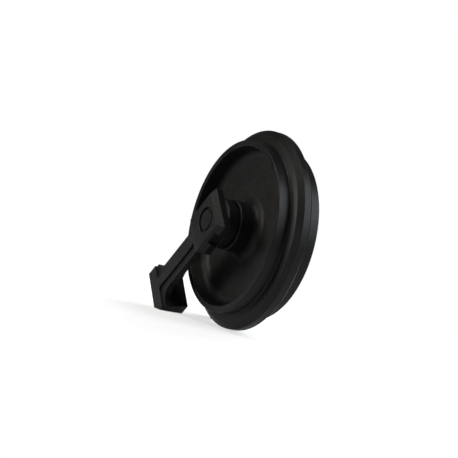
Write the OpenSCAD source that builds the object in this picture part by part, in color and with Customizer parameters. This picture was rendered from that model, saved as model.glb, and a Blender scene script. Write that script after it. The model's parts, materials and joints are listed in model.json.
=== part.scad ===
// Front idler of a compact crawler excavator.
// A flanged, dished wheel turns on a fixed shaft. Two cast brackets hold the shaft with cross pins,
// and their arms run back to the feet that bolt to the track adjuster's yoke.
// +X is forward, +Y is left and along the axle, +Z is up. The part stands on its flange and both feet.

/* [Wheel] */
// Diameter of the two treads that carry the track
tread_d = 350; // [335:1:360]
// Diameter over the guide flange
flange_d = 407; // [398:1:416]
// Width over the side faces of the rim
wheel_w = 94; // [88:1:100]
// Width of the flange at its top
flange_top_w = 15; // [11:0.5:19]
// Width of the flange where its top bevel starts
flange_shoulder_w = 33; // [29:0.5:36]
// Width of the flange at its root
flange_root_w = 39.5; // [37:0.5:43]
// Radial height of the bevel at the flange's top
flange_bevel_h = 11; // [8:0.5:14]
// Fillet between tread and flange
root_fillet = 3.5; // [2:0.5:5]
// Thickness of the rim at its side faces
rim_t = 12; // [9:0.5:15]
// Casting draft of the rim's inner wall
rim_draft = 3; // [1:0.5:5]
// Chamfer of the tread's outer edges
rim_chamfer = 1.5; // [0.5:0.5:3]
// Thickness of the web between the two dishes
web_t = 18; // [14:1:24]
// Fillet between web and rim
rim_fillet = 17; // [10:1:20]
// Fillet between web and hub
hub_fillet = 17; // [10:1:20]
// Diameter of the hub
hub_d = 103; // [100:0.5:108]
// Length of the hub
hub_l = 105; // [101:0.5:110]
// Chamfer of the hub's ends
hub_chamfer = 2; // [1:0.5:3]

/* [Shaft and bushings] */
// Diameter of the shaft
shaft_d = 40; // [37:0.5:42]
// Setback of the shaft's ends behind the brackets' front faces
shaft_setback = 0.5; // [0:0.5:3]
// Chamfer of the shaft's ends
shaft_chamfer = 1.5; // [0.5:0.5:2]
// Diameter of the centre-drilled dimple in each shaft end
centre_d = 5; // [3:0.5:8]
// Wall of the bushings
bush_wall = 5; // [4:0.5:6]
// Radial width of the bushing's thrust flange
bush_flange_w = 5.5; // [4:0.5:6]
// Thickness of the bushing's thrust flange
bush_flange_t = 3; // [2:0.5:4]
// Length of the oil chamber between the bushings
oil_chamber_l = 24; // [16:1:32]
// Depth of the oil chamber outside the bushings
oil_chamber_h = 4; // [2:0.5:6]
// Diameter of the drilled oil passage
oil_hole_d = 5; // [4:0.5:6]
// Distance of the oil passage from the shaft's axis
oil_hole_offset = 12; // [11.5:0.25:12.5]
// Thread diameter of the oil plug
plug_d = 8; // [6:1:8]
// Thread length of the oil plug
plug_l = 8; // [6:1:10]
// Diameter of the oil plug's head
plug_head_d = 11; // [10:0.5:11.5]
// Height of the oil plug's head
plug_head_h = 4; // [3:0.5:5]
// Size across flats of the plug's socket
plug_socket = 5; // [4:1:6]
// Thickness of the plug's sealing washer
washer_t = 1; // [0.5:0.25:1.5]

/* [Seals] */
// Wall of the bracket's spigot that the bushing's thrust flange runs against
spigot_wall = 6; // [5:0.5:6.5]
// Gap between that spigot and the metal seal rings
seal_air = 2; // [1.5:0.25:2.5]
// Wall of a metal seal ring
seal_wall = 4.5; // [3.5:0.5:6]
// Length of a metal seal ring
seal_l = 9.5; // [9:0.5:11]
// Thickness of the lapped lip on a seal ring
seal_lip_t = 2; // [1.5:0.5:2]
// Radial height of the lapped lip
seal_lip_h = 4; // [3:0.5:5]
// Section diameter of a rubber toric ring
toric_d = 7; // [6:0.5:7]
// Free space behind a seal ring
seal_room = 3; // [2:0.5:4]
// Section diameter of the O-rings on the shaft
oring_d = 2.5; // [2:0.25:3]
// Depth of the recess in each hub end that takes the bracket's collar
labyrinth_h = 4; // [3.5:0.5:6]
// How far the collar reaches into that recess
labyrinth_lap = 2.5; // [1.5:0.5:3]
// Gap round the collar in that recess
labyrinth_gap = 1.2; // [0.8:0.1:1.5]

/* [Brackets] */
// Width over the front faces of the two brackets
bracket_span = 209; // [203:1:216]
// Height of the bevelled boss above the bracket's plate
boss_h = 11.5; // [9:0.5:14]
// Length of the boss's flat front face beyond the axle, towards the arm
boss_flat = 26; // [25.5:0.5:30]
// Length of the ramp from the boss down to the arm's rib
boss_ramp = 26; // [20:1:34]
// Thickness of the plate
plate_t = 13.5; // [12:0.5:16]
// Width of the head
head_w = 106; // [100:1:112]
// Length of the head from the axle to its free end
head_end = 43.5; // [40:0.5:48]
// Length of the head from the axle to its shoulders
head_front = 44.5; // [42:0.5:48]
// Length of the sloping shoulders
shoulder_l = 19; // [14:1:26]
// Width of the arm
arm_w = 55; // [48:1:60]
// Width of the raised rib along the arm
rib_w = 22; // [16:1:28]
// Height of the raised rib and of the foot's face above the plate
rib_h = 4; // [3:0.5:5]
// Corner radius of the hollows beside the rib
hollow_r = 9; // [7:0.5:12]
// Distance from the axle to the end faces of the feet
arm_reach = 246; // [240:1:256]
// Length of a foot along the arm
foot_l = 40; // [36:1:44]
// Reach of a foot below the arm's middle
foot_low = 61; // [58:1:66]
// Reach of a foot above the arm's middle
foot_high = 45.5; // [43:0.5:50]
// Depth of a foot along the axle
foot_depth = 53.5; // [46:0.5:58]
// Chamfer of the foot's corner that stands on the ground
foot_chamfer = 19.25; // [16:0.25:23]
// Width of the foot's face beyond the lower hollow
foot_face_low = 48; // [44:1:54]
// Width of the foot's face beyond the upper hollow
foot_face_high = 30; // [24:1:38]
// Fillet between the arm's lower edge and the foot
low_fillet = 28; // [20:1:30]
// Fillet between the arm's upper edge and the foot
high_fillet = 16; // [10:1:17]
// Diameter of the bracket's collar
collar_d = 92; // [88:0.5:96]
// Fillet between collar and plate
collar_fillet = 5; // [3:0.5:8]
// Diameter of the recess round the shaft's end
end_recess_d = 50.5; // [46:0.5:52]
// Depth of the recess round the shaft's end
end_recess_h = 6; // [4:0.5:8]
// Chamfer at the mouth of that recess
recess_chamfer = 1; // [0.5:0.5:2]
// Diameter of the cross pin that locks the shaft
pin_d = 12; // [10:0.5:13]
// Width of the flat pockets at the pin's ends
pocket_l = 29; // [22:1:34]
// Depth of those pockets in the head's sides
pocket_h = 8; // [6:0.5:10]
// Thread diameter of the bolt holes in the feet
bolt_d = 16; // [12:1:18]
// Depth of the bolt holes
bolt_depth = 30; // [20:1:34]
// Spacing of the two bolt holes in a foot
bolt_pitch = 44; // [36:1:50]

/* [Clearances] */
// Radial running clearance between shaft and bushings
run_fit = 0.05; // [0.02:0.01:0.1]
// Radial clearance of seated pieces
seat_fit = 0.02; // [0.01:0.01:0.05]
// Gap between the lapped faces of a seal pair
face_gap = 0.1; // [0.05:0.05:0.3]
// End float between a bushing's thrust flange and the bracket's spigot
end_float = 0.3; // [0.1:0.1:0.6]

/* [Hidden] */
$fn = 96;
// Overshoot of cutting shapes
cut = 1;
fillet_steps = 6;

// Radii
tread_r = tread_d / 2;
flange_r = flange_d / 2;
hub_r = hub_d / 2;
shaft_r = shaft_d / 2;
collar_r = collar_d / 2;
bush_in_r = shaft_r + run_fit;
bush_out_r = bush_in_r + bush_wall;
bush_bore_r = bush_out_r + seat_fit;
oil_chamber_r = bush_bore_r + oil_chamber_h;
shaft_bore_r = shaft_r + seat_fit;
spigot_r = shaft_bore_r + spigot_wall;
seal_in_r = spigot_r + seal_air;
seal_tail_r = seal_in_r + seal_wall;
seal_lip_r = seal_tail_r + seal_lip_h;
toric_ring_r = seal_tail_r + seat_fit + toric_d / 2;
seal_seat_r = seal_tail_r + toric_d + 2 * seat_fit;
labyrinth_r = collar_r + labyrinth_gap;

// Places along the axle, outwards from the wheel's middle plane
hub_end_w = hub_l / 2;
labyrinth_w = hub_end_w - labyrinth_h;
collar_end_w = hub_end_w - labyrinth_lap;
seal_face_w = (labyrinth_w + collar_end_w) / 2;
toric_step = seal_lip_t + toric_d / 2 + seat_fit;
wheel_seat_w = seal_face_w - seal_l - seal_room - bush_flange_t;
spigot_end_w = wheel_seat_w + bush_flange_t + end_float;
bracket_seat_w = seal_face_w + seal_l + seal_room;
front_w = bracket_span / 2;
plate_w = front_w - boss_h;
back_w = plate_w - plate_t;
rib_top_w = plate_w + rib_h;
foot_in_w = rib_top_w - foot_depth;
shaft_end_w = front_w - shaft_setback;
recess_floor_w = front_w - end_recess_h;
pin_w = (back_w + recess_floor_w) / 2;
oring_w = (bracket_seat_w + pin_w - pin_d / 2) / 2;
plug_seat_w = shaft_end_w - plug_head_h - washer_t - shaft_chamfer;
bolt_w = (foot_in_w + rib_top_w) / 2;

// Places in the bracket's plane
arm_half = arm_w / 2;
head_half = head_w / 2;
foot_in = arm_reach - foot_l;
pocket_floor = head_half - pocket_h;
low_hollow_end = arm_reach - foot_face_low;
high_hollow_end = arm_reach - foot_face_high;
high_r = min(high_fillet, foot_high - arm_half - cut);
low_r = min(low_fillet, foot_low - arm_half - cut);

// Slope of the arms that sets the first corner of the feet's chamfers on the ground
function drop_to(a, d) = asin(flange_r / norm([a, d])) - atan2(d, a);
arm_drop = min(drop_to(arm_reach, foot_low - foot_chamfer), drop_to(arm_reach - foot_chamfer, foot_low));
rear_reach = arm_reach * cos(arm_drop) + foot_high * sin(arm_drop);
axle_x = (max(rear_reach, flange_r) - flange_r) / 2;

cast_black = "#2b2c2e";
painted_steel = "#303134";
seal_iron = "#8d9094";
bronze = "#b08d4c";
rubber = "#1d1d1e";
copper = "#b87345";

// Points on an arc round c, from angle a0 to a1
function arc(c, r, a0, a1) =
    [for (i = [0:fillet_steps]) let (t = a0 + (a1 - a0) * i / fillet_steps) c + r * [cos(t), sin(t)]];

function flip(points) = [for (i = [len(points) - 1:-1:0]) [points[i][0], -points[i][1]]];

// Stands a shape made along Z on the axle, Z pointing left
module on_axle() {
    translate([axle_x, 0, flange_r])
        rotate([-90, 0, 0])
            children();
}

// Stands a shape made as [along the arm, down across the arm, outwards] on the right side
module on_right() {
    translate([axle_x, 0, flange_r])
        rotate([0, 180 - arm_drop, 0])
            rotate([90, 0, 0])
                children();
}

module on_left() {
    mirror([0, 1, 0])
        on_right()
            children();
}

module ring(outer_r, inner_r, from_w, to_w) {
    translate([0, 0, from_w])
        difference() {
            cylinder(r = outer_r, h = to_w - from_w);
            translate([0, 0, -cut])
                cylinder(r = inner_r, h = to_w - from_w + 2 * cut);
        }
}

module torus(ring_r, section_d) {
    rotate_extrude()
        translate([ring_r, 0])
            circle(d = section_d, $fn = 32);
}

// Half of the wheel's section, from the flange's middle round the rim, web and hub to the bore's middle
function wheel_half() =
    let (rim_in_r = tread_r - rim_t,
         web_w = web_t / 2,
         rim_w = wheel_w / 2,
         dish_r = rim_in_r - rim_draft)
    concat(
        [[flange_r, flange_top_w / 2], [flange_r - flange_bevel_h, flange_shoulder_w / 2]],
        arc([tread_r + root_fillet, flange_root_w / 2 + root_fillet], root_fillet, 270, 180),
        [[tread_r, rim_w - rim_chamfer], [tread_r - rim_chamfer, rim_w], [rim_in_r, rim_w]],
        arc([dish_r - rim_fillet, web_w + rim_fillet], rim_fillet, 0, -90),
        arc([hub_r + hub_fillet, web_w + hub_fillet], hub_fillet, -90, -180),
        [[hub_r, hub_end_w - hub_chamfer], [hub_r - hub_chamfer, hub_end_w],
         [labyrinth_r, hub_end_w], [labyrinth_r, labyrinth_w], [seal_seat_r, labyrinth_w],
         [seal_seat_r, wheel_seat_w], [bush_bore_r, wheel_seat_w], [bush_bore_r, oil_chamber_l / 2],
         [oil_chamber_r, oil_chamber_l / 2]]);

module idler_wheel() {
    half = wheel_half();
    color(cast_black)
        on_axle()
            rotate_extrude($fn = 160)
                polygon(concat(half, flip(half)));
}

module bushing() {
    color(bronze) {
        ring(bush_out_r, bush_in_r, oil_chamber_l / 2, wheel_seat_w + bush_flange_t);
        ring(bush_out_r + bush_flange_w, bush_out_r - seat_fit, wheel_seat_w, wheel_seat_w + bush_flange_t);
    }
}

// One metal ring of a seal pair, its lapped face at Z = 0 and its tail below
module seal_ring() {
    color(seal_iron)
        rotate_extrude()
            polygon([[seal_in_r, -face_gap / 2], [seal_lip_r, -face_gap / 2], [seal_lip_r, -seal_lip_t],
                     [seal_tail_r, -seal_lip_t], [seal_tail_r, -seal_l], [seal_in_r, -seal_l]]);
}

module rotating_seal() {
    translate([0, 0, seal_face_w])
        seal_ring();
}

module static_seal() {
    translate([0, 0, seal_face_w])
        mirror([0, 0, 1])
            seal_ring();
}

module rotating_toric() {
    color(rubber)
        translate([0, 0, seal_face_w - toric_step])
            torus(toric_ring_r, toric_d);
}

module static_toric() {
    color(rubber)
        translate([0, 0, seal_face_w + toric_step])
            torus(toric_ring_r, toric_d);
}

module shaft_oring() {
    color(rubber)
        translate([0, 0, oring_w])
            torus(shaft_r - oring_d / 2, oring_d - 2 * seat_fit);
}

// Cut in one end of the shaft: O-ring groove, cross hole for the pin and centre dimple
module shaft_end_cuts() {
    ring(shaft_r + cut, shaft_r - oring_d, oring_w - oring_d / 2 - seat_fit, oring_w + oring_d / 2 + seat_fit);
    translate([0, 0, pin_w])
        rotate([90, 0, 0])
            cylinder(d = pin_d + 2 * seat_fit, h = shaft_d + 2 * cut, center = true);
    translate([0, 0, shaft_end_w - centre_d / 2])
        cylinder(d1 = 0, d2 = centre_d, h = centre_d / 2);
}

module shaft_blank() {
    straight_l = shaft_end_w - shaft_chamfer;
    rotate_extrude()
        polygon([[0, -shaft_end_w], [shaft_r - shaft_chamfer, -shaft_end_w], [shaft_r, -straight_l],
                 [shaft_r, straight_l], [shaft_r - shaft_chamfer, shaft_end_w], [0, shaft_end_w]]);
}

// Passage from the plug at the left end to the oil chamber
module oil_passage() {
    translate([oil_hole_offset, 0, 0]) {
        cylinder(d = oil_hole_d, h = shaft_end_w);
        rotate([0, 90, 0])
            cylinder(d = oil_hole_d, h = shaft_r);
        translate([0, 0, plug_seat_w - plug_l])
            cylinder(d = plug_d + 2 * seat_fit, h = plug_l + cut);
        translate([0, 0, plug_seat_w])
            cylinder(d = plug_head_d + cut, h = shaft_end_w - plug_seat_w + cut);
    }
}

module shaft() {
    color(painted_steel)
        on_left()
            difference() {
                shaft_blank();
                shaft_end_cuts();
                mirror([0, 0, 1])
                    shaft_end_cuts();
                oil_passage();
            }
}

module oil_plug() {
    color(painted_steel)
        on_left()
            translate([oil_hole_offset, 0, plug_seat_w])
                difference() {
                    union() {
                        translate([0, 0, -plug_l])
                            cylinder(d = plug_d, h = plug_l + washer_t);
                        translate([0, 0, washer_t])
                            cylinder(d = plug_head_d, h = plug_head_h);
                    }
                    translate([0, 0, washer_t + cut])
                        cylinder(d = plug_socket / cos(30), h = plug_head_h, $fn = 6);
                }
}

module plug_washer() {
    color(copper)
        on_left()
            translate([oil_hole_offset, 0, 0])
                ring(plug_head_d / 2, plug_d / 2 + seat_fit, plug_seat_w, plug_seat_w + washer_t);
}

module lock_pin() {
    color(painted_steel)
        translate([0, 0, pin_w])
            rotate([90, 0, 0])
                cylinder(d = pin_d, h = 2 * pocket_floor, center = true);
}

// Outline of the foot, with the chamfer that stands on the ground
function foot_outline() =
    [[foot_in, -foot_high], [arm_reach, -foot_high], [arm_reach, foot_low - foot_chamfer],
     [arm_reach - foot_chamfer, foot_low], [foot_in, foot_low]];

// Outline of the whole bracket: head, shoulders, arm and foot
function bracket_outline() = concat(
    [[-head_end, head_half], [-head_end, -head_half], [head_front, -head_half],
     [head_front + shoulder_l, -arm_half]],
    arc([foot_in - high_r, -arm_half - high_r], high_r, 90, 0),
    foot_outline(),
    arc([foot_in - low_r, arm_half + low_r], low_r, 0, -90),
    [[head_front + shoulder_l, arm_half], [head_front, head_half]]);

module bracket_slab(from_w, to_w) {
    translate([0, 0, from_w])
        linear_extrude(to_w - from_w)
            polygon(bracket_outline());
}

// Section of a hollow beside the rib, from its wall outwards, with a round foot to the wall
function hollow_section(width) = concat(
    [[0, rib_top_w + cut]],
    arc([rib_h, rib_top_w], rib_h, 180, 270),
    [[width, plate_w], [width, rib_top_w + cut]]);

// Hollow below the rib: along the arm, round its corner and along the foot's face
module hollow(end_a) {
    corner_a = end_a - hollow_r;
    corner_d = rib_w / 2 + hollow_r;
    translate([head_front, rib_w / 2, 0])
        rotate([90, 0, 90])
            linear_extrude(corner_a - head_front)
                polygon(hollow_section(foot_low));
    translate([corner_a, corner_d, 0])
        rotate([0, 0, -90])
            rotate_extrude(angle = 90)
                polygon([for (p = hollow_section(hollow_r)) [hollow_r - p[0], p[1]]]);
    translate([end_a, corner_d, 0])
        rotate([90, 0, 180])
            linear_extrude(foot_low)
                polygon(hollow_section(hollow_r + cut));
}

// Rib along the arm and raised face of the foot
module raised_face() {
    difference() {
        intersection() {
            bracket_slab(back_w, rib_top_w);
            translate([head_front, -head_w, back_w])
                cube([arm_reach, 2 * head_w, plate_t + rib_h]);
        }
        hollow(low_hollow_end);
        mirror([0, 1, 0])
            hollow(high_hollow_end);
    }
}

// Boss round the shaft's end, bevelled on its free end and sides, with a ramp towards the arm
module boss() {
    ramp_end = boss_flat + boss_ramp;
    intersection() {
        translate([0, head_w / 2, 0])
            rotate([90, 0, 0])
                linear_extrude(head_w)
                    polygon([[-head_end, back_w], [ramp_end, back_w], [ramp_end, rib_top_w],
                             [boss_flat, front_w], [boss_h - head_end, front_w], [-head_end, plate_w]]);
        translate([-head_end, 0, 0])
            rotate([90, 0, 90])
                linear_extrude(head_end + ramp_end)
                    polygon([[-head_half, back_w], [head_half, back_w], [head_half, plate_w],
                             [head_half - boss_h, front_w], [boss_h - head_half, front_w], [-head_half, plate_w]]);
        bracket_slab(back_w, front_w);
    }
}

module foot_block() {
    translate([0, 0, foot_in_w])
        linear_extrude(foot_depth)
            polygon(foot_outline());
}

// Collar that covers the hub's end, with the thrust spigot inside it
module collar() {
    rotate_extrude()
        polygon(concat(
            [[0, spigot_end_w], [spigot_r, spigot_end_w], [spigot_r, collar_end_w], [collar_r, collar_end_w]],
            arc([collar_r + collar_fillet, back_w - collar_fillet], collar_fillet, 180, 90),
            [[0, back_w + cut]]));
}

// Bore for the shaft, seat of the seal, recess round the shaft's end and hole for the pin
module head_cuts() {
    cylinder(r = shaft_bore_r, h = front_w + cut);
    ring(seal_seat_r, spigot_r, spigot_end_w - cut, bracket_seat_w);
    translate([0, 0, recess_floor_w])
        cylinder(d = end_recess_d, h = end_recess_h + cut);
    translate([0, 0, front_w - recess_chamfer])
        cylinder(d1 = end_recess_d, d2 = end_recess_d + 2 * recess_chamfer, h = recess_chamfer);
    translate([0, 0, pin_w])
        rotate([90, 0, 0])
            cylinder(d = pin_d + 2 * seat_fit, h = head_w + 2 * cut, center = true);
    for (side = [-1, 1])
        translate([-pocket_l / 2, side * (pocket_floor + head_half / 2) - head_half / 2, back_w - cut])
            cube([pocket_l, head_half, front_w - back_w + 2 * cut]);
}

module foot_bolt_holes() {
    for (side = [-1, 1])
        translate([arm_reach - bolt_depth, side * bolt_pitch / 2, bolt_w])
            rotate([0, 90, 0])
                cylinder(d = bolt_d, h = bolt_depth + cut);
}

module bracket() {
    color(cast_black)
        difference() {
            union() {
                bracket_slab(back_w, plate_w);
                raised_face();
                boss();
                foot_block();
                collar();
            }
            head_cuts();
            foot_bolt_holes();
        }
}

idler_wheel();
on_right() bushing();  // right_bushing
on_left() bushing();  // left_bushing
on_right() rotating_seal();  // right_rotating_seal
on_left() rotating_seal();  // left_rotating_seal
on_right() rotating_toric();  // right_rotating_toric
on_left() rotating_toric();  // left_rotating_toric
shaft();
on_right() bracket();  // right_bracket
on_left() bracket();  // left_bracket
on_right() lock_pin();  // right_lock_pin
on_left() lock_pin();  // left_lock_pin
on_right() shaft_oring();  // right_shaft_oring
on_left() shaft_oring();  // left_shaft_oring
on_right() static_seal();  // right_static_seal
on_left() static_seal();  // left_static_seal
on_right() static_toric();  // right_static_toric
on_left() static_toric();  // left_static_toric
oil_plug();
plug_washer();
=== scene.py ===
"""Looks of an excavator's front idler: black paint on castings and turned steel, in plain studio light."""
import json
import math

import bmesh
import bpy
import numpy as np
from mathutils import Matrix, Vector


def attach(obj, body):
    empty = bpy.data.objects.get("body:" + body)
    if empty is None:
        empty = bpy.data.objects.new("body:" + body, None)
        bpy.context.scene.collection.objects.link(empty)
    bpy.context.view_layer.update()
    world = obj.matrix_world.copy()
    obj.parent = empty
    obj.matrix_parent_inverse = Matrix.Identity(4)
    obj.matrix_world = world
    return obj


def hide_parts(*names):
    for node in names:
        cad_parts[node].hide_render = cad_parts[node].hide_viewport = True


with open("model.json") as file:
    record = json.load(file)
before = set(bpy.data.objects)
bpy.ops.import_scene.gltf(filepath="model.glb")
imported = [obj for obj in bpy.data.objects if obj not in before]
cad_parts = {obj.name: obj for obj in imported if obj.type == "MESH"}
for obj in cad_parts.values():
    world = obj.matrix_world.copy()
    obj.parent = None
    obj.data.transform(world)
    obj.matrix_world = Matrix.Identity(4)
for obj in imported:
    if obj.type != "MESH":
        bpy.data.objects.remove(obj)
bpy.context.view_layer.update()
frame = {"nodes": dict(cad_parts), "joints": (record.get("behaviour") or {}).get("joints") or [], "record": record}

# The frame is in metres, and the castings are worked out in mm from the middle of the axle
MM = 0.001
AXLE = Vector(frame["joints"][0]["pos_m"])
BOLT_HOLES = [mount for mount in frame["record"]["mounts"] if mount["kind"] == "threaded_hole"]

# Steps of a rounded corner, a large circle, a small hole and the wheel
CORNER_STEPS = 8
ROUND_STEPS = 96
HOLE_STEPS = 48
WHEEL_STEPS = 256

# Points of a casting that lie closer than this are one, and edges sharper than this stay sharp
SAME_POINT = 0.001
SHARP_ANGLE = math.radians(25)

# Wheel: radii, and distances from its middle plane
FLANGE_R = 203.5
FLANGE_TOP = 7.5
FLANGE_SHOULDER_R = 192.5
FLANGE_SHOULDER = 16.5
FLANGE_ROOT = 20.55
TREAD_R = 175.0
RIM_FACE = 47.0
RIM_CHAMFER = 1.5
RIM_INNER_R = 163.0
DISH_FOOT_R = 157.6
DISH_FILLET = 17.0
WEB_FACE = 9.0
HUB_R = 51.5
HUB_END = 52.5
HUB_CHAMFER = 2.0
HUB_RECESS_R = 47.2
HUB_RECESS = 48.5
HUB_SEAT_R = 39.56
HUB_SEAT = 33.75
BUSH_SEAT_R = 25.07
OIL_CHAMBER_R = 29.07
OIL_CHAMBER = 12.0
TURNED_EDGE = 0.8
CAST_EDGE = 2.0
ROOT_FILLET = 3.5

# Bracket's plate, rib and boss: heights outwards from the wheel's middle plane
PLATE_BACK = 79.5
PLATE_FRONT = 92.5
RIB_TOP = 97.0
BOSS_FRONT = 104.5

# Bracket's head and arm: places along the arm from the axle, half-widths across it, and corner radii
HEAD_END = -41.5
HEAD_FRONT = 44.5
HEAD_HALF = 50.5
HEAD_EDGE = 1.5
SHOULDER_END = 63.5
ARM_HALF = 27.5
ARM_FILLET = 6.0
RIB_HALF = 11.0

# Boss and its ramp to the rib: bevels' widths, places along the arm, and numbers of sections
END_BEVEL = 8.0
SIDE_BEVEL = 10.5
BOSS_END = 60.0
RAMP_START = 28.0
RAMP_SECTION = 36.0
RAMP_END = 95.0
SHOULDER_SECTIONS = 9
RAMP_SECTIONS = 19

# Foot, its gusset and the hollows beside the rib: places along the arm and down across it, radii, height
# of the foot's inner end, and rise of its underside
GUSSET_START = 190.0
GUSSET_LOW = -21.0
FOOT_START = 209.0
FOOT_FILLET = 26.0
HOLLOW_END = 216.5
HOLLOW_R = 9.0
REACH = 246.0
FOOT_HIGH = -45.5
FOOT_LOW = 61.0
FOOT_CHAMFER = 19.25
CHAMFER_TOP = FOOT_LOW - FOOT_CHAMFER
FOOT_INNER = 38.5
FOOT_TAPER = 8.5

# Collar behind the head: radii, and heights as the plate's
COLLAR_R = 49.0
COLLAR_END = 58.5
COLLAR_EDGE = 3.0
COLLAR_EDGE_POINTS = 7
NECK_R = 43.3
NECK_END = 50.0
SEAL_SEAT_R = 39.6
SEAL_SEAT = 61.75
SPIGOT_R = 26.0
SPIGOT_END = 37.05

# Bore, recess and lock pin in the head, and how far a cut reaches past the face that it opens
BORE_R = 20.02
RECESS_R = 25.25
RECESS_FLOOR = 98.5
RECESS_CHAMFER = 1.0
POCKET_HALF = 14.5
POCKET_FLOOR = 44.7
PIN_HOLE_R = 6.02
PIN_MIDDLE = 89.0
OVERSHOOT = 1.0

# Threads: pitch, depth and gap to the wall in metres, place of the first turn and half-width of the foot in
# pitches, and the crest's share of the foot
THREAD_PITCH = 2 * MM
THREAD_DEPTH = 1.1 * MM
THREAD_GAP = 0.02 * MM
THREAD_START = 0.75
THREAD_HALF = 0.46
CREST_SHARE = 0.13
THREAD_STEPS_A_TURN = 48

# Paint: colours, among them the lighter grey of a painted highlight on the grain's tops, gloss, and the band of
# the grain that gets this painted highlight
DEEP_BLACK = (0.0050, 0.0050, 0.0051)
WARM_BLACK = (0.0100, 0.0097, 0.0094)
# Painted highlight: the grain's tops are coloured this lighter grey, as speckles of light
PAINTED_HIGHLIGHT_BLACK = (0.022, 0.0215, 0.021)
PAINT_GLOSS = 0.20
GRAIN_TOPS = (0.58, 0.78)

# Turned faces of the wheel: where they begin outside the dish, their tool lines' pitch, shares of radius
# and side, and wander, and the share of the grain that they keep
TURNED_FROM = 0.5
TURNED_TO = 2.5
LINE_PITCH = 1.3 * MM
LINE_SHARES = (0.8, 0.6)
LINE_WANDER = 3.0
GRAIN_KEPT = 0.1

# How much rougher stains make turned metal
STAIN_ROUGHNESS = 0.15

# Band in which a noise varies, sockets of a Mix node that blends colours, and rays that round an edge
NOISE_BAND = (0.3, 0.7)
FIRST_COLOUR, SECOND_COLOUR, BLENDED_COLOUR = 6, 7, 2
EDGE_SAMPLES = 8

# Camera, as the photograph was taken, with its angles in degrees
IMAGE_PX = 458
SENSOR = 36.0
FOCAL_PX = 1248.4
CAMERA_AZIMUTH = 61.2
CAMERA_ELEVATION = 0.48
CAMERA_ROLL = 13.55
CAMERA_DISTANCE = 2.5094
CAMERA_AIM = AXLE + Vector((-20.0, -36.52, -8.18)) * MM

# Radius, grey and glow of the floor, light from all round, half-angle and soft edge of the white screen
# behind the part, and the share of floor and screen that reflections show
FLOOR_R = 1.2
FLOOR_GREY = 0.4
FLOOR_GLOW = 0.60
ROOM_LIGHT = 0.04
SCREEN_HALF_ANGLE = math.radians(20)
SCREEN_SOFTNESS = 0.05
MIRRORED_SHARE = 0.35
WHITE = (1, 1, 1, 1)


# Grids of points

def circle(radius, steps=ROUND_STEPS):
    """Points (r cos t, r sin t) at even steps of the angle t."""
    turn = np.linspace(0, 2 * math.pi, steps, endpoint=False)
    return radius * np.column_stack([np.cos(turn), np.sin(turn)])


def grid(x, y, z):
    """Points from their coordinates, each given for every point or for whole rows or columns."""
    return np.stack(np.broadcast_arrays(x, y, z), axis=-1)


def at_height(outline, w):
    """A flat outline with all its points at height w."""
    return grid(*outline.T, w)


def rounded(corners):
    """Closed outline through corners (a, d, r), where an arc of radius r replaces a corner unless r is 0.

    The arc touches both sides. With f and l its ends seen from its centre and t its turn, the point at
    angle s is (f sin(t - s) + l sin s) / sin t from the centre.
    """
    corners = np.array(corners, float)
    place, r = corners[:, :2], corners[:, 2, None]
    u = np.roll(place, 1, axis=0) - place
    v = np.roll(place, -1, axis=0) - place
    u /= np.linalg.norm(u, axis=1, keepdims=True)
    v /= np.linalg.norm(v, axis=1, keepdims=True)
    half = np.arccos(np.sum(u * v, axis=1, keepdims=True)) / 2
    turn = math.pi - 2 * half
    middle = (u + v) / np.linalg.norm(u + v, axis=1, keepdims=True)
    centre = place + middle * r / np.sin(half)
    first, last = (place + side * r / np.tan(half) - centre for side in (u, v))
    s = turn * np.linspace(0, 1, CORNER_STEPS + 1)
    first_share, last_share = (np.sin(angle) / np.sin(turn) for angle in (turn - s, s))
    arcs = centre[:, None] + first_share[..., None] * first[:, None] + last_share[..., None] * last[:, None]
    wanted = np.ones(s.shape, bool)
    wanted[corners[:, 2] == 0, 1:] = False
    return arcs[wanted]


def skin(loops, ring=False):
    """Points and faces through closed loops of equally many points.

    The first and last loops are capped or, in a ring, joined to each other.
    """
    loops = np.array(loops)
    rows, count = loops.shape[:2]
    index = np.arange(rows * count).reshape(rows, count)
    near, far = (index, np.roll(index, -1, axis=0)) if ring else (index[:-1], index[1:])
    walls = np.stack([near, np.roll(near, -1, axis=1), np.roll(far, -1, axis=1), far], axis=-1)
    caps = [] if ring else [index[0, ::-1].tolist(), index[-1].tolist()]
    return loops.reshape(-1, 3), walls.reshape(-1, 4).tolist() + caps


def prism(outline, low, high):
    """Straight block on one outline between two heights."""
    return skin([at_height(outline, low), at_height(outline, high)])


def lathe(profile, ring=False, steps=ROUND_STEPS):
    """Solid of revolution: a profile point (r, w) becomes the circle of radius r at height w."""
    r, w = np.array(profile).T[..., None]
    cosine, sine = circle(1.0, steps).T
    return skin(grid(r * cosine, r * sine, w), ring)


# Castings

def put_in_scene(name, data):
    """A new object of the scene."""
    thing = bpy.data.objects.new(name, data)
    bpy.context.scene.collection.objects.link(thing)
    return thing


def clean(mesh):
    """Merges doubles, drops faces without area and turns the rest outwards."""
    work = bmesh.new()
    work.from_mesh(mesh)
    bmesh.ops.remove_doubles(work, verts=work.verts, dist=SAME_POINT)
    bmesh.ops.dissolve_degenerate(work, edges=work.edges, dist=SAME_POINT)
    bmesh.ops.recalc_face_normals(work, faces=work.faces)
    work.to_mesh(mesh)
    work.free()


def make_shell(points, faces):
    """An object of one closed shell."""
    mesh = bpy.data.meshes.new("shell")
    mesh.from_pydata(points.tolist(), [], faces)
    clean(mesh)
    return put_in_scene("shell", mesh)


def combine(base, joined=(), cut=()):
    """Mesh of one shell with some joined to it and others then cut out of it."""
    for operation, shells in (("UNION", joined), ("DIFFERENCE", cut)):
        for shell in shells:
            step = base.modifiers.new(operation, "BOOLEAN")
            step.operation = operation
            step.solver = "EXACT"
            step.object = shell
    mesh = bpy.data.meshes.new_from_object(base.evaluated_get(bpy.context.evaluated_depsgraph_get()))
    for shell in (base, *joined, *cut):
        bpy.data.objects.remove(shell)
    clean(mesh)
    return mesh


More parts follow.
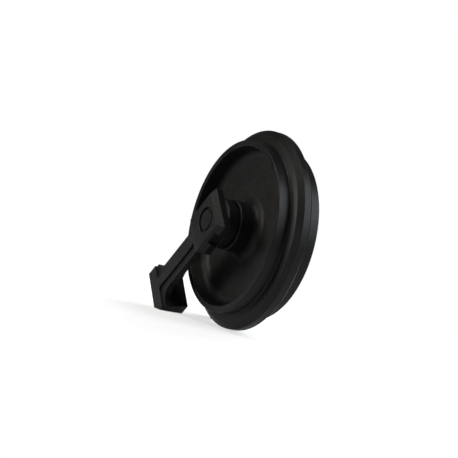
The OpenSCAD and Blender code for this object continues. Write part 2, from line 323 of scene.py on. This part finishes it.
def place_casting(name, mesh, basis, body, node, material):
    """Sets a mesh from its own frame into the part's, as a casting that stands for a CAD node."""
    mesh.name = name
    mesh.transform(Matrix.Translation(AXLE) @ Matrix((basis * MM).T).to_4x4())
    if np.linalg.det(basis) < 0:
        mesh.flip_normals()
    mesh.shade_smooth()
    mesh.set_sharp_from_angle(angle=SHARP_ANGLE)
    mesh.materials.clear()
    mesh.materials.append(material)
    casting = put_in_scene(name, mesh)
    casting.modifiers.new("even_normals", "WEIGHTED_NORMAL").keep_sharp = True
    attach(casting, body)
    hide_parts(node)


# Wheel

def wheel_section():
    """Closed section from the flange's top by rim, web and hub to the bore, and back on the other side."""
    half = np.array([
        (FLANGE_R, FLANGE_TOP, CAST_EDGE),
        (FLANGE_SHOULDER_R, FLANGE_SHOULDER, CAST_EDGE),
        (TREAD_R, FLANGE_ROOT, ROOT_FILLET),
        (TREAD_R, RIM_FACE - RIM_CHAMFER, TURNED_EDGE),
        (TREAD_R - RIM_CHAMFER, RIM_FACE, TURNED_EDGE),
        (RIM_INNER_R, RIM_FACE, CAST_EDGE),
        (DISH_FOOT_R, WEB_FACE, DISH_FILLET),
        (HUB_R, WEB_FACE, DISH_FILLET),
        (HUB_R, HUB_END - HUB_CHAMFER, TURNED_EDGE),
        (HUB_R - HUB_CHAMFER, HUB_END, TURNED_EDGE),
        (HUB_RECESS_R, HUB_END, 0),
        (HUB_RECESS_R, HUB_RECESS, 0),
        (HUB_SEAT_R, HUB_RECESS, 0),
        (HUB_SEAT_R, HUB_SEAT, 0),
        (BUSH_SEAT_R, HUB_SEAT, 0),
        (BUSH_SEAT_R, OIL_CHAMBER, 0),
        (OIL_CHAMBER_R, OIL_CHAMBER, 0),
    ])
    other_half = half[::-1] * (1, -1, 1)
    return rounded(np.concatenate([half, other_half]))


def make_wheel(material):
    """Wheel casting: its section turned round the axle, with w towards the right side."""
    mesh = combine(make_shell(*lathe(wheel_section(), ring=True, steps=WHEEL_STEPS)))
    basis = np.array([(1.0, 0.0, 0.0), (0.0, 0.0, 1.0), (0.0, -1.0, 0.0)])
    place_casting("wheel_casting", mesh, basis, "wheel", "idler_wheel", material)


# Brackets, in a frame with a along the arm, d down across it and w outwards along the axle

FOOT_FACE = [(REACH, FOOT_HIGH, 0), (REACH, CHAMFER_TOP, 0), (REACH - FOOT_CHAMFER, FOOT_LOW, 0)]


def plate():
    """Plate of head, shoulders, arm, gusset and foot: a block on one outline with rounded corners."""
    upper = [
        (HEAD_END, -HEAD_HALF, HEAD_EDGE),
        (HEAD_FRONT, -HEAD_HALF, 0),
        (SHOULDER_END, -ARM_HALF, ARM_FILLET),
        (GUSSET_START, -ARM_HALF, ARM_FILLET),
        (FOOT_START, FOOT_HIGH, 0),
    ]
    lower = [
        (FOOT_START, FOOT_LOW, 0),
        (FOOT_START, ARM_HALF, FOOT_FILLET),
        (SHOULDER_END, ARM_HALF, ARM_FILLET),
        (HEAD_FRONT, HEAD_HALF, 0),
        (HEAD_END, HEAD_HALF, HEAD_EDGE),
    ]
    return prism(rounded(upper + FOOT_FACE + lower), PLATE_BACK, PLATE_FRONT)


def raised_face():
    """Rib and foot's face, which the hollows leave standing: one outline with the hollows' round ends."""
    upper = [(HEAD_FRONT, -RIB_HALF, 0), (HOLLOW_END, -RIB_HALF, HOLLOW_R), (HOLLOW_END, FOOT_HIGH, 0)]
    lower = [(HOLLOW_END, FOOT_LOW, 0), (HOLLOW_END, RIB_HALF, HOLLOW_R), (HEAD_FRONT, RIB_HALF, 0)]
    return prism(rounded(upper + FOOT_FACE + lower), PLATE_FRONT, RIB_TOP)


def front_height(a):
    """The boss's front falls to the rib's top by half a wave of a cosine."""
    share = np.clip((a - RAMP_START) / (RAMP_END - RAMP_START), 0, 1)
    return BOSS_FRONT - (BOSS_FRONT - RIB_TOP) * (1 - np.cos(math.pi * share)) / 2


def boss():
    """Boss as sections across the arm: a front between two bevels, and a bevel at its free end.

    At height h the side bevels leave a front of half-width H - s (h - p) / b, where H is the head's
    half-width, s the bevel's width, p the plate's front and b the boss's height above it. The shoulders cut
    both narrower.
    """
    boss_h = BOSS_FRONT - PLATE_FRONT
    on_head = [HEAD_END, HEAD_END + END_BEVEL, RAMP_START, RAMP_SECTION]
    a = np.concatenate([on_head, np.linspace(HEAD_FRONT, BOSS_END, SHOULDER_SECTIONS)])
    height = np.minimum(PLATE_FRONT + (a - HEAD_END) * boss_h / END_BEVEL, front_height(a))
    slope = (HEAD_HALF - ARM_HALF) / (SHOULDER_END - HEAD_FRONT)
    half = HEAD_HALF - slope * np.maximum(0, a - HEAD_FRONT)
    front = np.minimum(half, HEAD_HALF - (height - PLATE_FRONT) * SIDE_BEVEL / boss_h)
    edge = np.minimum(height, PLATE_FRONT + (HEAD_HALF - half) * boss_h / SIDE_BEVEL)
    foot = np.full_like(a, PLATE_BACK)
    across = np.stack([-half, -half, -front, front, half, half], axis=1)
    up = np.stack([foot, edge, height, height, edge, foot], axis=1)
    return skin(grid(a[:, None], across, up))


def rib_ramp():
    """Start of the rib as sections across the arm, each as high as the boss's front would be there."""
    a = np.linspace(BOSS_END, RAMP_END, RAMP_SECTIONS)
    top, foot = front_height(a), np.full_like(a, PLATE_BACK)
    across = np.array([-RIB_HALF, -RIB_HALF, RIB_HALF, RIB_HALF])
    return skin(grid(a[:, None], across, np.stack([foot, top, top, foot], axis=1)))


def foot_block():
    """Foot behind the plate, between two outlines whose undersides differ by the taper.

    The chamfer keeps its plane, so its lower edge moves along the arm by as much as the underside rises.
    """
    def outline(low):
        """Outline with its underside at low."""
        return np.array([(GUSSET_START, -ARM_HALF), (FOOT_START, FOOT_HIGH), (REACH, FOOT_HIGH),
                         (REACH, CHAMFER_TOP), (REACH + CHAMFER_TOP - low, low),
                         (FOOT_START, low), (FOOT_START, GUSSET_LOW)])
    inner, outer = outline(FOOT_LOW - FOOT_TAPER), outline(FOOT_LOW)
    return skin([at_height(inner, FOOT_INNER), at_height(outer, PLATE_BACK)])


def collar():
    """Collar behind the head, turned round the axle with its neck, the seal's seat and the thrust spigot.

    Its edge towards the plate is a quarter circle.
    """
    bend = np.linspace(0, math.pi / 2, COLLAR_EDGE_POINTS)
    edge = np.column_stack([COLLAR_R - COLLAR_EDGE * (1 - np.cos(bend)),
                            PLATE_BACK - COLLAR_EDGE * (1 - np.sin(bend))])
    inner = BORE_R - OVERSHOOT
    steps_out = [(inner, SPIGOT_END), (SPIGOT_R, SPIGOT_END), (SPIGOT_R, SEAL_SEAT),
                 (SEAL_SEAT_R, SEAL_SEAT), (SEAL_SEAT_R, NECK_END), (NECK_R, NECK_END),
                 (NECK_R, COLLAR_END), (COLLAR_R, COLLAR_END)]
    return lathe(np.concatenate([steps_out, edge, [(inner, PLATE_BACK)]]), ring=True)


def shaft_bore():
    """Bore for the shaft and the recess with its chamfer round the shaft's end, turned round the axle."""
    chamfer_r = RECESS_R + RECESS_CHAMFER
    return lathe([(BORE_R, SPIGOT_END - OVERSHOOT), (BORE_R, RECESS_FLOOR), (RECESS_R, RECESS_FLOOR),
                  (RECESS_R, BOSS_FRONT - RECESS_CHAMFER), (chamfer_r, BOSS_FRONT),
                  (chamfer_r, BOSS_FRONT + OVERSHOOT)])


def pocket(side):
    """Flat pocket at one end of the lock pin: a rectangle through the head's whole height."""
    low, high = sorted((side * POCKET_FLOOR, side * (HEAD_HALF + OVERSHOOT)))
    outline = np.array([(-POCKET_HALF, low), (POCKET_HALF, low), (POCKET_HALF, high), (-POCKET_HALF, high)])
    return prism(outline, PLATE_BACK - OVERSHOOT, BOSS_FRONT + OVERSHOOT)


def pin_hole():
    """Hole for the lock pin: a circle across the head, carried from one side of it to the other."""
    a, w = circle(PIN_HOLE_R, HOLE_STEPS).T
    end = HEAD_HALF + OVERSHOOT
    return skin(grid(a, np.array([[-end], [end]]), w + PIN_MIDDLE))


def bolt_hole(d, w, radius, depth):
    """Hole for a bolt: a circle round (d, w) on the foot's face, carried into the foot."""
    across, up = circle(radius, HOLE_STEPS).T
    along = np.array([[REACH - depth], [REACH + OVERSHOOT]])
    return skin(grid(along, across + d, up + w))


def make_bracket(side, outward, material):
    """Casting of one side, joined from its closed forms and then bored."""
    holes = [hole for hole in BOLT_HOLES if hole["name"].startswith(side)]
    along = np.array(holes[0]["axis"])
    across = np.array((-along[2], 0.0, along[0]))
    basis = np.array([along, across, outward])
    forms = [boss(), rib_ramp(), raised_face(), foot_block(), collar()]
    cuts = [shaft_bore(), pocket(-1), pocket(1), pin_hole()]
    for hole in holes:
        _, d, w = basis @ (np.array(hole["pos_m"]) - np.array(AXLE)) / MM
        cuts.append(bolt_hole(d, w, hole["dims"]["r_mm"], hole["dims"]["length_mm"]))
    base = make_shell(*plate())
    mesh = combine(base, [make_shell(*form) for form in forms], [make_shell(*cut) for cut in cuts])
    place_casting(side + "_bracket_casting", mesh, basis, "frame", side + "_bracket", material)


# Threads

def make_thread(name, mouth, inward, radius, length, material):
    """Cut thread of a bolt hole: a profile with a narrow crest, carried along a helix on the hole's wall.

    At turn angle t the profile's middle is p (s + t / 2 pi) below the mouth, where p is the pitch and s the
    place of the first turn. Its foot lies on the wall and its crest stands in by the thread's depth. Both
    ends taper to the wall within half a turn.
    """
    turns = (length - 2 * THREAD_PITCH) / THREAD_PITCH
    t = np.linspace(0.0, 2 * math.pi * turns, int(turns * THREAD_STEPS_A_TURN) + 1)
    taper = np.minimum(1.0, np.minimum(t, t[-1] - t) / math.pi)
    foot = np.full_like(t, radius - THREAD_GAP)
    crest = foot - (THREAD_DEPTH * taper + THREAD_GAP)
    half = THREAD_HALF * THREAD_PITCH
    middle = THREAD_PITCH * (THREAD_START + t / (2 * math.pi))
    radii = np.stack([foot, crest, crest, foot], axis=1)
    depths = middle[:, None] + half * np.array([-1, -CREST_SHARE, CREST_SHARE, 1])

    level = np.cross(inward, (0.0, 1.0, 0.0))
    from_middle = np.cos(t)[:, None] * level + np.sin(t)[:, None] * np.cross(inward, level)
    on_helix = mouth + radii[..., None] * from_middle[:, None, :] + depths[..., None] * inward
    points, faces = skin(on_helix)
    mesh = bpy.data.meshes.new(name)
    mesh.from_pydata(points.tolist(), [], faces)
    mesh.materials.append(material)
    thread = put_in_scene(name, mesh)
    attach(thread, "frame")


def make_threads(material):
    """A thread from the mouth of each bolt hole, whose stated place is its middle."""
    for hole in BOLT_HOLES:
        outward = np.array(hole["axis"])
        length = hole["dims"]["length_mm"] * MM
        mouth = np.array(hole["pos_m"]) + outward * length / 2
        make_thread(hole["name"] + "_thread", mouth, -outward, hole["dims"]["r_mm"] * MM, length, material)


# Shader helpers

def add_node(tree, kind, **settings):
    """Adds a shader node; settings name its properties or, where it has no such property, its inputs."""
    node = tree.nodes.new(kind)
    for name, value in settings.items():
        if hasattr(node, name):
            setattr(node, name, value)
        else:
            node.inputs[name.replace("_", " ")].default_value = value
    return node


def join(tree, source, target):
    """Joins an output to an input."""
    tree.links.new(source, target)


def reckon(tree, operation, first, second=0.0):
    """A Math node on two values, each a socket or a number."""
    node = add_node(tree, "ShaderNodeMath", operation=operation)
    for value, socket in zip((first, second), node.inputs):
        if isinstance(value, (int, float)):
            socket.default_value = value
        else:
            join(tree, value, socket)
    return node.outputs[0]


def spread(tree, value, low, high, to_low, to_high):
    """Maps a value between two limits to another range, clamped at its ends."""
    node = add_node(tree, "ShaderNodeMapRange", From_Min=low, From_Max=high, To_Min=to_low, To_Max=to_high)
    join(tree, value, node.inputs["Value"])
    return node.outputs["Result"]


def spread_noise(tree, pattern, to_low, to_high):
    """Maps a noise to a range."""
    return spread(tree, pattern, *NOISE_BAND, to_low, to_high)


def noise(tree, place, scale, detail, roughness=0.55):
    """A noise with about as many lumps in a metre as its scale says."""
    node = add_node(tree, "ShaderNodeTexNoise", Scale=scale, Detail=detail, Roughness=roughness)
    join(tree, place, node.inputs["Vector"])
    return node.outputs["Fac"]


def blend_colours(tree, share, first, second):
    """A colour between two, each a socket or three numbers, by a share from 0 to 1."""
    node = add_node(tree, "ShaderNodeMix", data_type="RGBA")
    join(tree, share, node.inputs["Factor"])
    for colour, socket in ((first, FIRST_COLOUR), (second, SECOND_COLOUR)):
        if isinstance(colour, tuple):
            node.inputs[socket].default_value = (*colour, 1)
        else:
            join(tree, colour, node.inputs[socket])
    return node.outputs[BLENDED_COLOUR]


def from_axle(tree, place):
    """A place measured from the middle of the axle."""
    centred = add_node(tree, "ShaderNodeMapping", Location=tuple(-AXLE))
    join(tree, place, centred.inputs["Vector"])
    return centred.outputs["Vector"]


def new_material(name):
    """A material with its node tree and its shader."""
    material = bpy.data.materials.new(name)
    material.use_nodes = True
    return material, material.node_tree, material.node_tree.nodes["Principled BSDF"]


def object_place(tree):
    """Place on a piece in the part's frame."""
    return add_node(tree, "ShaderNodeTexCoord").outputs["Object"]


def raise_surface(tree, shader, edge_r, *layers):
    """Rounds edges by edge_r and adds bumps, each a height socket with its strength and its distance."""
    normal = add_node(tree, "ShaderNodeBevel", samples=EDGE_SAMPLES, Radius=edge_r).outputs["Normal"]
    for height, strength, distance in layers:
        bump = add_node(tree, "ShaderNodeBump", Strength=strength, Distance=distance)
        join(tree, height, bump.inputs["Height"])
        join(tree, normal, bump.inputs["Normal"])
        normal = bump.outputs["Normal"]
    join(tree, normal, shader.inputs["Normal"])


# Finishes

def sand_grain(tree, place):
    """Sand grain of a casting's skin."""
    return noise(tree, place, scale=380.0, detail=5.0, roughness=0.65)


def soft_lumps(tree, place):
    """Lumps of a casting's skin."""
    return noise(tree, place, scale=55.0, detail=2.0)


def colour_paint(tree, shader, clouds, painted_highlight):
    """Black paint that varies with the clouds, lightened to grey by a painted highlight where painted_highlight
    marks the grain's tops.
    """
    paint = blend_colours(tree, spread_noise(tree, clouds, 0.0, 1.0), DEEP_BLACK, WARM_BLACK)
    join(tree, blend_colours(tree, painted_highlight, paint, PAINTED_HIGHLIGHT_BLACK), shader.inputs["Base Color"])
    shader.inputs["Specular IOR Level"].default_value = PAINT_GLOSS


def paint_on_casting():
    """Black semi-gloss paint over a sand-cast skin: grain, lumps, and a painted highlight of lighter grey on the
    grain's tops.
    """
    material, tree, shader = new_material("paint_on_casting")
    place = object_place(tree)
    lumps = soft_lumps(tree, place)
    grain = sand_grain(tree, place)
    clouds = noise(tree, place, scale=17.0, detail=4.0)
    # Painted highlight: the grain's tops are coloured lighter grey
    painted_highlight = spread(tree, grain, *GRAIN_TOPS, 0.0, 0.7)
    colour_paint(tree, shader, clouds, painted_highlight)
    join(tree, spread_noise(tree, grain, 0.40, 0.56), shader.inputs["Roughness"])
    raise_surface(tree, shader, 1.0 * MM, (lumps, 0.30, 3 * MM), (grain, 0.75, 1.1 * MM))
    return material


def paint_on_wheel():
    """The wheel's black paint: turned rim and flange with fine tool lines, and the sand-cast dish within.

    A point is turned where it lies outside the dish's radius. The tool lines are bands of a sum of its
    radius and its distance from the middle plane, so they run round the axle on every face.
    """
    material, tree, shader = new_material("paint_on_wheel")
    place = object_place(tree)
    parts = add_node(tree, "ShaderNodeSeparateXYZ")
    join(tree, from_axle(tree, place), parts.inputs["Vector"])
    x, y, z = parts.outputs
    squares = reckon(tree, "ADD", reckon(tree, "MULTIPLY", x, x), reckon(tree, "MULTIPLY", z, z))
    radius = reckon(tree, "SQRT", squares)
    off_middle = reckon(tree, "ABSOLUTE", y)
    starts, ends = (RIM_INNER_R + TURNED_FROM) * MM, (RIM_INNER_R + TURNED_TO) * MM
    turned = spread(tree, radius, starts, ends, 0.0, 1.0)
    cast = reckon(tree, "SUBTRACT", 1.0, turned)

    lumps = soft_lumps(tree, place)
    grain = sand_grain(tree, place)
    clouds = noise(tree, place, scale=13.0, detail=4.0)
    # Painted highlight: the grain's tops in the sand-cast dish are coloured lighter grey
    painted_highlight = reckon(tree, "MULTIPLY", spread(tree, grain, *GRAIN_TOPS, 0.0, 0.6), cast)
    colour_paint(tree, shader, clouds, painted_highlight)

    rough_cast = reckon(tree, "MULTIPLY", spread_noise(tree, grain, 0.36, 0.50), cast)
    rough_turned = reckon(tree, "MULTIPLY", spread_noise(tree, clouds, 0.36, 0.46), turned)
    join(tree, reckon(tree, "ADD", rough_cast, rough_turned), shader.inputs["Roughness"])

    shares = (reckon(tree, "MULTIPLY", *pair) for pair in zip((radius, off_middle), LINE_SHARES))
    rows = reckon(tree, "MULTIPLY", reckon(tree, "ADD", *shares), 2 * math.pi / LINE_PITCH)
    wander = reckon(tree, "MULTIPLY", noise(tree, place, scale=30.0, detail=2.0), LINE_WANDER)
    waves = reckon(tree, "SINE", reckon(tree, "ADD", rows, wander))
    lines = reckon(tree, "MULTIPLY", waves, turned)
    grain_left = reckon(tree, "ADD", reckon(tree, "MULTIPLY", cast, 1 - GRAIN_KEPT), GRAIN_KEPT)
    sand = reckon(tree, "MULTIPLY", grain, grain_left)
    raise_surface(tree, shader, 0.5 * MM,
                  (lumps, 0.15, 3 * MM), (sand, 0.75, 1.1 * MM), (lines, 0.10, 0.05 * MM))
    return material


def turned_metal(name, dark, light, rough, metallic=1.0):
    """Lathe-turned metal: stains in colour and gloss, and fine rings of tool lines round the axle."""
    material, tree, shader = new_material(name)
    place = object_place(tree)
    shader.inputs["Metallic"].default_value = metallic
    if not metallic:
        shader.inputs["Specular IOR Level"].default_value = PAINT_GLOSS
    stain = noise(tree, place, scale=90.0, detail=4.0)
    colour = blend_colours(tree, spread_noise(tree, stain, 0.0, 1.0), dark, light)
    join(tree, colour, shader.inputs["Base Color"])
    join(tree, spread_noise(tree, stain, rough, rough + STAIN_ROUGHNESS), shader.inputs["Roughness"])
    rings = add_node(tree, "ShaderNodeTexWave", wave_type="RINGS", rings_direction="Y",
                     Scale=320.0, Distortion=1.2)
    join(tree, from_axle(tree, place), rings.inputs["Vector"])
    raise_surface(tree, shader, 0.4 * MM, (rings.outputs["Fac"], 0.12, 0.05 * MM))
    return material


def moulded_rubber():
    """Black rubber with a faint mould skin."""
    material, tree, shader = new_material("moulded_rubber")
    mould_skin = noise(tree, object_place(tree), scale=900.0, detail=3.0)
    colour = blend_colours(tree, mould_skin, (0.010, 0.010, 0.010), (0.022, 0.022, 0.021))
    join(tree, colour, shader.inputs["Base Color"])
    join(tree, spread_noise(tree, mould_skin, 0.55, 0.7), shader.inputs["Roughness"])
    raise_surface(tree, shader, 0.2 * MM, (mould_skin, 0.15, 0.1 * MM))
    return material


def dress(material, *names):
    """Puts a material on CAD nodes."""
    for name in names:
        for slot in frame["nodes"][name].material_slots:
            slot.material = material


# Studio

def direction(azimuth, elevation):
    """Unit vector at an azimuth and elevation in degrees, azimuth 0 being towards the right side."""
    az, el = math.radians(azimuth), math.radians(elevation)
    return Vector((math.sin(az) * math.cos(el), -math.cos(az) * math.cos(el), math.sin(el)))


def make_camera():
    """The camera looks at its aim from its azimuth and elevation, turned about that line by its roll."""
    az, roll = math.radians(CAMERA_AZIMUTH), math.radians(CAMERA_ROLL)
    toward = direction(CAMERA_AZIMUTH, CAMERA_ELEVATION)
    level_right = Vector((math.cos(az), math.sin(az), 0))
    level_up = toward.cross(level_right)
    right = math.cos(roll) * level_right + math.sin(roll) * level_up
    turn = Matrix((right, toward.cross(right), toward)).transposed().to_4x4()
    data = bpy.data.cameras.new("camera")
    data.sensor_width = SENSOR
    data.lens = SENSOR * FOCAL_PX / IMAGE_PX
    camera = put_in_scene("camera", data)
    camera.matrix_world = Matrix.Translation(CAMERA_AIM + toward * CAMERA_DISTANCE) @ turn
    bpy.context.scene.camera = camera


def sight(tree):
    """Sockets that are 1 for what the camera sees itself, and what it sees mirrored or through glass."""
    path = add_node(tree, "ShaderNodeLightPath")
    mirrored = reckon(tree, "MAXIMUM", path.outputs["Is Glossy Ray"], path.outputs["Is Transmission Ray"])
    return path.outputs["Is Camera Ray"], mirrored


def make_floor():
    """A level disc under the part that shows white to the camera and keeps the part's shadow."""
    edge = at_height(circle(FLOOR_R), 0.0)
    mesh = bpy.data.meshes.new("floor")
    mesh.from_pydata(edge.tolist(), [], [list(range(len(edge)))])
    floor = put_in_scene("floor", mesh)
    material, tree, shader = new_material("white_floor")
    shader.inputs["Base Color"].default_value = (FLOOR_GREY, FLOOR_GREY, FLOOR_GREY, 1)
    shader.inputs["Roughness"].default_value = 1.0
    shader.inputs["Specular IOR Level"].default_value = 0.0
    shader.inputs["Emission Color"].default_value = WHITE
    camera, mirrored = sight(tree)
    seen = reckon(tree, "MAXIMUM", camera, reckon(tree, "MULTIPLY", mirrored, MIRRORED_SHARE))
    join(tree, reckon(tree, "MULTIPLY", seen, FLOOR_GLOW), shader.inputs["Emission Strength"])
    mesh.materials.append(material)


def make_world():
    """A white surrounding to look at; reflections show a white screen behind the part, in a dim room."""
    world = bpy.data.worlds.new("studio")
    bpy.context.scene.world = world
    world.use_nodes = True
    tree = world.node_tree
    shader = tree.nodes["Background"]
    shader.inputs["Color"].default_value = WHITE
    camera, mirrored = sight(tree)
    behind = add_node(tree, "ShaderNodeVectorMath", operation="DOT_PRODUCT")
    join(tree, add_node(tree, "ShaderNodeTexCoord").outputs["Generated"], behind.inputs[0])
    behind.inputs[1].default_value = -direction(CAMERA_AZIMUTH, 0)
    edge = math.cos(SCREEN_HALF_ANGLE)
    screen = spread(tree, behind.outputs["Value"], edge - SCREEN_SOFTNESS, edge + SCREEN_SOFTNESS,
                    0.0, MIRRORED_SHARE)
    seen = reckon(tree, "MAXIMUM", camera, reckon(tree, "MULTIPLY", mirrored, screen))
    strength = reckon(tree, "ADD", reckon(tree, "MULTIPLY", seen, 1.0 - ROOM_LIGHT), ROOM_LIGHT)
    join(tree, strength, shader.inputs["Strength"])


def make_lamp(name, azimuth, elevation, distance, width, height, radiance, colour, mirrored=True):
    """A soft lamp on a sphere round the axle, facing it; its power gives the radiance of its face."""
    toward = direction(azimuth, elevation)
    light = bpy.data.lights.new(name, "AREA")
    light.shape = "RECTANGLE"
    light.size = width
    light.size_y = height
    light.energy = radiance * math.pi * width * height
    light.color = colour
    lamp = put_in_scene(name, light)
    lamp.location = AXLE + toward * distance
    lamp.rotation_euler = toward.to_track_quat("Z", "Y").to_euler()
    lamp.visible_glossy = mirrored


make_camera()
make_floor()
make_world()
make_lamp("overhead", azimuth=9, elevation=66, distance=2.2, width=0.7, height=0.7,
          radiance=12.0, colour=(1.0, 0.98, 0.95))
make_lamp("high_right", azimuth=134, elevation=31, distance=2.4, width=1.3, height=2.1,
          radiance=5.6, colour=(0.90, 0.96, 1.0))
make_lamp("front", azimuth=-15, elevation=14, distance=2.4, width=1.0, height=1.0,
          radiance=11.5, colour=(1.0, 0.97, 0.93))
make_lamp("back", azimuth=215, elevation=35, distance=2.4, width=1.8, height=1.4,
          radiance=9.0, colour=(0.95, 0.98, 1.0), mirrored=False)

casting_paint = paint_on_casting()
dress(casting_paint, "right_bracket", "left_bracket")
wheel_paint = paint_on_wheel()
dress(wheel_paint, "idler_wheel")
shaft_paint = turned_metal("painted_shaft", dark=(0.006, 0.006, 0.006), light=(0.011, 0.011, 0.011),
                           rough=0.40, metallic=0.0)
dress(shaft_paint, "shaft", "oil_plug", "right_lock_pin", "left_lock_pin")
seal_iron = turned_metal("lapped_seal_iron", dark=(0.28, 0.285, 0.29), light=(0.40, 0.40, 0.41), rough=0.25)
dress(seal_iron, "right_rotating_seal", "left_rotating_seal", "right_static_seal", "left_static_seal")
bronze = turned_metal("bushing_bronze", dark=(0.36, 0.23, 0.09), light=(0.47, 0.31, 0.13), rough=0.30)
dress(bronze, "right_bushing", "left_bushing")
copper = turned_metal("washer_copper", dark=(0.45, 0.19, 0.09), light=(0.58, 0.27, 0.14), rough=0.30)
dress(copper, "plug_washer")
dress(moulded_rubber(), "right_rotating_toric", "left_rotating_toric", "right_static_toric",
      "left_static_toric", "right_shaft_oring", "left_shaft_oring")
make_wheel(wheel_paint)
make_bracket("right", (0.0, -1.0, 0.0), casting_paint)
make_bracket("left", (0.0, 1.0, 0.0), casting_paint)
make_threads(casting_paint)
bpy.context.scene.view_settings.view_transform = "Standard"
